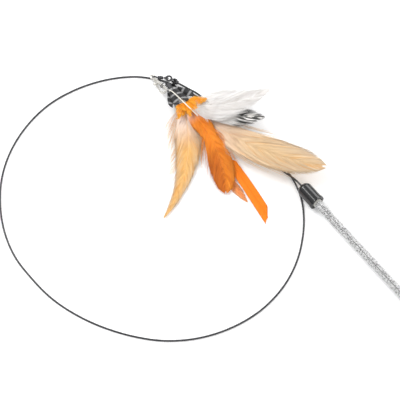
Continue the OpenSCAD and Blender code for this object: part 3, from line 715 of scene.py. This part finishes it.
def feather_finish(name, inner, outer, streak, shaft, count, rough=0.6, base=None, base_to=0.3,
                   tip=None, tip_from=0.8, tip_streaks=False, side_shade_tip=False, bars=None,
                   sheen=0.06, painted_glow=0.0):
    """Dyed barbs: one colour by the quill, one at the edge, streaks that follow the barbs, and
    where given a paler foot, a darker tip or cross bars. A tip may run out in streaks, or lie
    on one side only, where it is painted shade of a curled vane. The painted glow is painted
    light: an emission in the barbs' own colour that stands in for light scattered in the barbs."""
    made, n, link, skin = new_finish(name)
    marks = n.new("ShaderNodeGroup")
    marks.node_tree = barb_streaks
    marks.inputs["Count"].default_value = count

    def mixed(a, b, share):
        mix = n.new("ShaderNodeMix")
        mix.data_type = "RGBA"
        link.new(share, mix.inputs["Factor"])
        for socket, value in ((mix.inputs["A"], a), (mix.inputs["B"], b)):
            if isinstance(value, tuple):
                socket.default_value = (*value, 1)
            else:
                link.new(value, socket)
        return mix.outputs["Result"]

    def ranged(value, low, high):
        span = n.new("ShaderNodeMapRange")
        span.interpolation_type = "SMOOTHSTEP"
        span.inputs["From Min"].default_value = low
        span.inputs["From Max"].default_value = high
        link.new(value, span.inputs["Value"])
        return span.outputs["Result"]

    def product(a, b):
        times = n.new("ShaderNodeMath")
        times.operation = "MULTIPLY"
        link.new(a, times.inputs[0])
        link.new(b, times.inputs[1])
        return times.outputs[0]

    colour = mixed(inner, outer, ranged(marks.outputs["Across"], 0.15, 1.0))
    colour = mixed(colour, streak, ranged(marks.outputs["Streak"], 0.50, 0.66))
    darker = n.new("ShaderNodeMix")
    darker.data_type = "RGBA"
    darker.blend_type = "MULTIPLY"
    darker.inputs["B"].default_value = (0.90, 0.88, 0.85, 1)
    link.new(marks.outputs["Tint"], darker.inputs["Factor"])
    link.new(colour, darker.inputs["A"])
    colour = darker.outputs["Result"]
    if bars:
        bar_count, bar_bend = 3.0, -0.35
        wave = n.new("ShaderNodeMath")
        wave.operation = "MULTIPLY_ADD"
        wave.inputs[1].default_value = bar_count * 2 * math.pi
        bent = n.new("ShaderNodeMath")
        bent.operation = "MULTIPLY"
        bent.inputs[1].default_value = bar_bend
        link.new(marks.outputs["Across"], bent.inputs[0])
        link.new(marks.outputs["Along"], wave.inputs[0])
        link.new(bent.outputs[0], wave.inputs[2])
        sine = n.new("ShaderNodeMath")
        sine.operation = "SINE"
        link.new(wave.outputs[0], sine.inputs[0])
        colour = mixed(colour, bars, ranged(sine.outputs[0], 0.3, 1.0))
    if tip:
        tip_to = min(1.0, tip_from + (0.25 if side_shade_tip else 0.12))
        share = ranged(marks.outputs["Along"], tip_from, tip_to)
        # A tip kept to one side is painted shade, where a curled vane shades itself.
        if side_shade_tip:
            share = product(share, ranged(marks.outputs["Side"], 0.35, -0.25))
        if tip_streaks:
            share = product(share, ranged(marks.outputs["Streak"], 0.40, 0.52))
        colour = mixed(colour, tip, share)
    if base:
        colour = mixed(base, colour, ranged(marks.outputs["Along"], 0.08, base_to))
    colour = mixed(colour, shaft, marks.outputs["Shaft"])
    link.new(colour, skin.inputs["Base Color"])
    skin.inputs["Roughness"].default_value = rough
    skin.inputs["Specular IOR Level"].default_value = 0.25
    skin.inputs["Sheen Weight"].default_value = sheen
    skin.inputs["Sheen Roughness"].default_value = 0.5
    bump = n.new("ShaderNodeBump")
    bump.inputs["Strength"].default_value = 0.3
    bump.inputs["Distance"].default_value = 0.05 * mm
    link.new(marks.outputs["Streak"], bump.inputs["Height"])
    link.new(bump.outputs["Normal"], skin.inputs["Normal"])
    # Painted glow: the barbs' own colour emitted as painted light, standing in for light scattered
    # inside them.
    link.new(colour, skin.inputs["Emission Color"])
    skin.inputs["Emission Strength"].default_value = painted_glow
    return made


cape_shares = [(0, 0.36), (0.3, 0.6), (0.65, 0.92), (0.86, 1), (0.95, 0.85), (1, 0.5)]
barred_finish = feather_finish(
    "barred_black", inner=(0.028, 0.028, 0.030), outer=(0.045, 0.045, 0.048),
    streak=(0.022, 0.022, 0.024), shaft=(0.06, 0.06, 0.06), count=6, rough=0.30,
    bars=(0.34, 0.34, 0.345),
)
barred_feathers = [
    ("left", 190, 10, -19, -55, core_z(core_end) + quill_d),
    ("top", 90, 12, -6, -6, core_z(core_end) + 4.8),
    ("right", -10, 10, 10, 55, core_z(core_end) + quill_d),
]
for side_name, angle, wide, heading, roll, end_z in barred_feathers:
    rng = random.Random(11 + angle)
    shape = Feather(foot(6.35, angle, over=0.74), length=17, width=wide, shares=cape_shares,
                    heading=heading, bend=-2, end_z=end_z, wrap=80, roll=roll)
    blades = Blades()
    vane(shape, blades, rng, step=0.16, span=(0.0, 1.0),
         lean=30, width=0.5, stray=0.02, lock=2.0, pull=0.0, rise=0.02)
    backing(shape, blades, span=(0.0, 1.0), lean=30, reach_share=0.97, drop=0.0)
    quill(shape, blades, thick=0.45)
    made = blades.piece("barred_head_" + side_name, barred_finish)
    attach(made, "lure")
    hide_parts("barred_feather_" + side_name)

# Orange tuft: short fluffy feathers dyed bright orange, tied in below the head, two to
# each side. Their tips spread like a star.
tuft_shares = [(0, 0.07), (0.12, 0.25), (0.35, 0.9), (0.55, 1), (0.8, 0.5), (1, 0.04)]
# The tuft's glow is painted light, a faint emission in its own colour.
tuft_finish = feather_finish(
    "orange_down", inner=(0.96, 0.40, 0.024), outer=(0.98, 0.50, 0.060), streak=(0.95, 0.33, 0.016),
    shaft=(0.97, 0.48, 0.06), count=18, rough=0.75, sheen=0.0, painted_glow=0.09,
)
tuft_feathers = [
    ("left", 116, -42, -30, core_z(core_end) + 3 * quill_d, 2 * quill_d, 30, -10, -12),
    ("right", 66, 38, 42, core_z(core_end) + 5 * quill_d, quill_d, 14, 0, 2),
]
for side_name, angle, heading, bend, end_z, arch, wrap, roll, inner_heading in tuft_feathers:
    rng = random.Random(40 + int(heading))
    start = foot(core_end, angle)
    shape = Feather(start, length=15.5, width=9, shares=tuft_shares, heading=heading, bend=bend,
                    end_z=end_z, wrap=wrap, arch=arch, roll=roll)
    inner_shape = Feather(start, length=14, width=8, shares=tuft_shares, heading=inner_heading,
                          bend=bend / 3, end_z=core_z(core_end) + 4.6, wrap=14, arch=1.8)
    blades = Blades()
    for each in (shape, inner_shape):
        vane(each, blades, rng, step=0.12, span=(0.04, 1.0),
             lean=16, width=0.34, stray=0.4, lock=3.4, pull=0.5, rise=0.5)
        fluff(each, blades, rng, step=0.30, span=(0.02, 0.55), long=4.5,
              thin=0.10, hairs=5, hair_len=0.8, spread=(15, 50))
        quill(each, blades, thick=0.3)
    made = blades.piece("orange_tuft_" + side_name + "_down", tuft_finish)
    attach(made, "lure")
    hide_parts("orange_tuft_" + side_name)

# Peach feather: a long soft body feather dyed pale orange, which lies down to the left.
peach_shares = [
    (0, 0.08), (0.08, 0.18), (0.2, 0.72), (0.32, 0.98), (0.45, 0.88), (0.6, 0.66), (0.75, 0.38),
    (0.9, 0.2), (1, 0.04),
]
# The peach feather's glow is painted light, a faint emission in its own colour.
peach_finish = feather_finish(
    "peach_barbs", inner=(0.86, 0.51, 0.18), outer=(0.88, 0.63, 0.37), streak=(0.84, 0.44, 0.13),
    shaft=(0.90, 0.60, 0.30), count=30, base=(0.94, 0.80, 0.72), base_to=0.42, painted_glow=0.02,
)
rng = random.Random(7)
peach_foot = foot(core_end - quill_d, 200)
shape = Feather(peach_foot, length=95, width=19, shares=peach_shares, heading=-20, bend=-48,
                end_z=2 * quill_d, wrap=26)
blades = Blades()
vane(shape, blades, rng, step=0.20, span=(0.10, 1.0),
     lean=17, width=0.46, stray=0.22, lock=9.0, pull=0.05, rise=0.2)
backing(shape, blades, span=(0.10, 1.0), lean=17, reach_share=0.72)
fringe = Feather(peach_foot, length=95, width=24, shares=peach_shares, heading=-20, bend=-48,
                 end_z=2 * quill_d, wrap=26)
vane(fringe, blades, rng, step=1.0, span=(0.2, 0.95),
     lean=19, width=0.22, stray=0.6, lock=7.0, pull=0.2, rise=0.4)
fluff(shape, blades, rng, step=0.6, span=(0.02, 0.32), long=11.0,
      thin=0.08, hairs=6, spread=(15, 50), loft=0.12)
sheer_side = Feather(peach_foot, length=58, width=24, shares=tuft_shares, heading=-30, bend=-30,
                     end_z=1.2, wrap=26)
vane(sheer_side, blades, rng, step=0.5, span=(0.1, 1.0),
     lean=14, width=0.16, stray=0.6, lock=5.0, pull=0.3, rise=0.4)
quill(shape, blades, thick=0.4)
peach_piece = blades.piece("peach_plume", peach_finish)
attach(peach_piece, "lure")
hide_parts("peach_feather")

# Orange feather: a strong orange feather in the middle of the lure. Towards its end one side
# is painted darker, painted shade where the vane curls over.
orange_shares = [
    (0, 0.07), (0.12, 0.2), (0.22, 0.62), (0.3, 0.82), (0.38, 0.72), (0.47, 0.54), (0.6, 0.78),
    (0.74, 0.98), (0.86, 0.96), (0.95, 0.66), (1, 0.1),
]
# The darker tip on one side is painted shade of the curled end of the vane.
orange_finish = feather_finish(
    "orange_barbs", inner=(0.87, 0.255, 0.012), outer=(0.88, 0.30, 0.026),
    streak=(0.83, 0.20, 0.009), shaft=(0.90, 0.30, 0.03), count=34, tip=(0.62, 0.15, 0.006),
    tip_from=0.48, side_shade_tip=True, base=(0.95, 0.74, 0.60), base_to=0.26,
)
rng = random.Random(19)
orange_foot = foot(core_end - quill_d, 156)
shape = Feather(orange_foot, length=80, width=17, shares=orange_shares, heading=8, bend=-42,
                end_z=3 * quill_d, wrap=24, arch=3.5 * quill_d)
blades = Blades()
vane(shape, blades, rng, step=0.20, span=(0.10, 1.0),
     lean=18, width=0.46, stray=0.18, lock=7.0, pull=0.03, rise=0.2)
backing(shape, blades, span=(0.10, 1.0), lean=18)
fringe = Feather(orange_foot, length=82, width=22, shares=orange_shares, heading=8, bend=-42,
                 end_z=3 * quill_d, wrap=24, arch=3.5 * quill_d)
vane(fringe, blades, rng, step=0.9, span=(0.45, 1.0),
     lean=24, width=0.26, stray=0.7, lock=5.0, pull=0.2, rise=0.4)
fluff(shape, blades, rng, step=0.7, span=(0.03, 0.3), long=9.0,
      thin=0.08, hairs=5, spread=(15, 50), loft=0.12)
quill(shape, blades, thick=0.5)
orange_piece = blades.piece("orange_plume", orange_finish)
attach(orange_piece, "lure")
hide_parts("orange_feather")

# Strap feather: a stripped quill whose end keeps a strip of vane, cut to a slanted point.
strap_shares = [(0, 0.1), (0.5, 0.1), (0.53, 0.84), (0.65, 0.95), (0.8, 1), (0.92, 1), (1, 0.95)]
strap_finish = feather_finish(
    "strap_barbs", inner=(0.90, 0.225, 0.008), outer=(0.90, 0.235, 0.010),
    streak=(0.88, 0.210, 0.007), shaft=(0.90, 0.23, 0.012), count=60, rough=0.65, sheen=0.0,
)
rng = random.Random(23)
strap_foot = foot(core_end - quill_d, 270)
shape = Feather(strap_foot, length=113, width=8.4, shares=strap_shares, heading=1, bend=-9,
                end_z=quill_d, wrap=18, arch=quill_d)
shape.ends[1], shape.trim_from = 0.955, 0.89
blades = Blades()
vane(shape, blades, rng, step=0.14, span=(0.5, 1.0),
     lean=42, width=0.42, stray=0.01, pull=0.0, rise=0.02)
backing(shape, blades, span=(0.5, 1.0), lean=42, reach_share=0.98, drop=0.0)
quill(shape, blades, thick=0.6, last=0.94)
strap_piece = blades.piece("strap_plume", strap_finish)
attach(strap_piece, "lure")
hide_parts("strap_feather")

# Pale orange feather: a thin curled feather that lies under the strap, half see-through.
curl_shares = [(0, 0.12), (0.7, 0.14), (0.8, 0.9), (0.9, 1), (1, 0.1)]
pale_finish = feather_finish(
    "pale_orange_barbs", inner=(0.93, 0.34, 0.10), outer=(0.94, 0.46, 0.22),
    streak=(0.92, 0.28, 0.06), shaft=(0.94, 0.50, 0.28), count=30,
)
rng = random.Random(29)
pale_foot = foot(core_end - quill_d, 236)
shape = Feather(pale_foot, length=91, width=6, shares=curl_shares, heading=-13, bend=14,
                end_z=quill_d, wrap=20, arch=-quill_d)
blades = Blades()
vane(shape, blades, rng, step=0.22, span=(0.66, 1.0),
     lean=16, width=0.36, stray=0.3, lock=4.0, pull=0.1, rise=0.2)
backing(shape, blades, span=(0.66, 1.0), lean=16, reach_share=0.8)
quill(shape, blades, thick=0.5)
pale_piece = blades.piece("pale_plume", pale_finish)
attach(pale_piece, "lure")
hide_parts("pale_feather")

# Cream feather: the largest, a broad soft plume that rises to the right.
plume_shares = [
    (0, 0.05), (0.12, 0.2), (0.25, 0.44), (0.4, 0.68), (0.55, 0.85), (0.72, 1), (0.86, 0.88),
    (0.95, 0.58), (1, 0.1),
]
cream_finish = feather_finish(
    "cream_barbs", inner=(0.80, 0.57, 0.33), outer=(0.84, 0.66, 0.46), streak=(0.80, 0.49, 0.23),
    shaft=(0.84, 0.58, 0.30), count=24, base=(0.86, 0.68, 0.58), base_to=0.6,
)
rng = random.Random(31)
cream_foot = foot(core_end - quill_d, -44)
cream_tip_z = 14.84
shape = Feather(cream_foot, length=117, width=24, shares=plume_shares, heading=6, bend=34,
                end_z=cream_tip_z, wrap=16, arch=-quill_d)
blades = Blades()
vane(shape, blades, rng, step=0.20, span=(0.08, 1.0),
     lean=13, width=0.50, stray=0.15, lock=12.0, pull=0.03, rise=0.2)
backing(shape, blades, span=(0.30, 1.0), lean=13, reach_share=0.76)
fringe = Feather(cream_foot, length=117, width=29, shares=plume_shares, heading=6, bend=34,
                 end_z=cream_tip_z, wrap=16, arch=-quill_d)
vane(fringe, blades, rng, step=1.0, span=(0.2, 0.97),
     lean=15, width=0.24, stray=0.6, lock=9.0, pull=0.2, rise=0.5)
fluff(shape, blades, rng, step=0.45, span=(0.02, 0.4), long=16.0,
      thin=0.08, hairs=7, spread=(10, 42), loft=0.10)
sheer_side = Feather(cream_foot, length=62, width=30, shares=tuft_shares, heading=-3, bend=24,
                     end_z=5.0, wrap=16)
vane(sheer_side, blades, rng, step=0.3, span=(0.1, 1.0),
     lean=12, width=0.24, stray=0.7, lock=5.0, pull=0.3, rise=0.4)
quill(shape, blades, thick=0.4)
cream_piece = blades.piece("cream_plume", cream_finish)
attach(cream_piece, "lure")
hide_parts("cream_feather")

# White down: a big soft plume of loose down behind the head, with a sheer vane over it.
down_shares = [
    (0, 0.07), (0.06, 0.12), (0.15, 0.46), (0.35, 0.88), (0.5, 1), (0.7, 0.74), (0.86, 0.38),
    (1, 0.05),
]
# The white down's glow is painted light, a faint emission that softens its shading.
white_finish = feather_finish(
    "white_down", inner=(0.93, 0.91, 0.90), outer=(0.95, 0.94, 0.935), streak=(0.90, 0.88, 0.865),
    shaft=(0.94, 0.92, 0.91), count=10, rough=0.85, painted_glow=0.035,
)
rng = random.Random(37)
shape = Feather(foot(core_end, 24), length=62, width=24, shares=down_shares, heading=30, bend=56,
                end_z=16.96, wrap=14, arch=quill_d)
front_puff = Feather(foot(core_end, 40), length=27, width=20, shares=tuft_shares, heading=4,
                     bend=14, end_z=10, wrap=14, arch=3)
blades = Blades()
vane(shape, blades, rng, step=0.16, span=(0.05, 1.0),
     lean=14, width=0.38, stray=0.3, lock=8.0, pull=0.1, rise=0.3)
fluff(shape, blades, rng, step=0.36, span=(0.02, 0.85), long=12.0,
      thin=0.12, hairs=10, hair_len=1.4, spread=(20, 55), loft=0.2)
fluff(front_puff, blades, rng, step=0.20, span=(0.05, 0.75), long=9.0,
      thin=0.16, hairs=8, hair_len=1.4, spread=(5, 50), loft=0.2)
quill(shape, blades, thick=0.3)
down_piece = blades.piece("white_down_plume", white_finish)
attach(down_piece, "lure")
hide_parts("down_feather")

# Dark-tipped feather: a white body feather with a black and grey streaked tip.
tipped_shares = [(0, 0.06), (0.2, 0.28), (0.5, 0.78), (0.75, 1), (0.9, 0.66), (1, 0.06)]
tipped_finish = feather_finish(
    "white_dark_tip", inner=(0.92, 0.90, 0.88), outer=(0.94, 0.93, 0.92), streak=(0.89, 0.87, 0.85),
    shaft=(0.80, 0.78, 0.74), count=13, tip=(0.055, 0.055, 0.052), tip_from=0.60, tip_streaks=True,
)
rng = random.Random(41)
shape = Feather(foot(core_end - quill_d, -8), length=59, width=15, shares=tipped_shares,
                heading=20, bend=34, end_z=11.66, wrap=14)
blades = Blades()
vane(shape, blades, rng, step=0.18, span=(0.08, 1.0),
     lean=13, width=0.40, stray=0.25, lock=7.0, pull=0.2, rise=0.3)
backing(shape, blades, span=(0.45, 1.0), lean=13, reach_share=0.6)
fluff(shape, blades, rng, step=0.5, span=(0.03, 0.5), long=9.0,
      thin=0.1, hairs=8, spread=(15, 50), loft=0.15)
quill(shape, blades, thick=0.45)
tipped_piece = blades.piece("dark_tipped_plume", tipped_finish)
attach(tipped_piece, "lure")
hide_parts("dark_tipped_feather")

bpy.context.view_layer.update()
